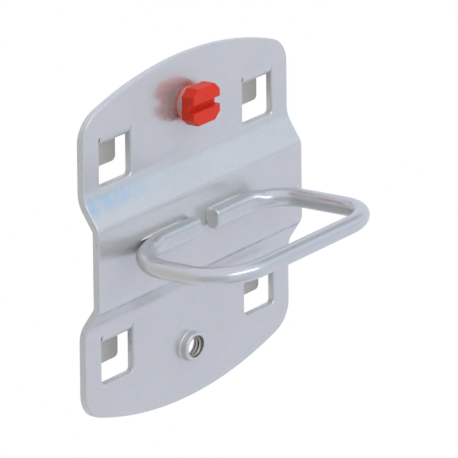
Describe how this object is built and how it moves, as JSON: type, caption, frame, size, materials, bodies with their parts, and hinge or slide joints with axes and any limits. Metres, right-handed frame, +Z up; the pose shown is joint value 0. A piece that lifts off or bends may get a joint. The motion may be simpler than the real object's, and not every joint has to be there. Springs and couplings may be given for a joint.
{
  "type": "pegboard hook",
  "caption": "Plated steel tool holder for a square-hole panel: a pressed plate with tongues, a level wire loop and a plastic locking screw.",
  "frame": {"origin": "centre of the four tongues, on the plane of the plate's back face, which lies on the panel", "axes": "+Z up, +X to the right seen from the front, +Y back into the panel; the loop reaches towards -Y"},
  "size_m": [0.0546, 0.0372, 0.0672],
  "materials": {
    "plated_sheet": "bright zinc plate, softly reflecting",
    "plated_wire": "bright zinc plate",
    "red_plastic": "moulded, semi-gloss"
  },
  "bodies": {
    "holder": {"back_plate": "plated_sheet", "wire_loop": "plated_wire"},
    "screw": {"locking_screw": "red_plastic"}
  },
  "joints": [
    {"name": "screw_turn", "type": "hinge", "parent": "holder", "child": "screw", "pos_m": [0, -0.004, 0.02415], "axis": [0, -1, 0], "range_deg": [-87, 1710]}
  ]
}
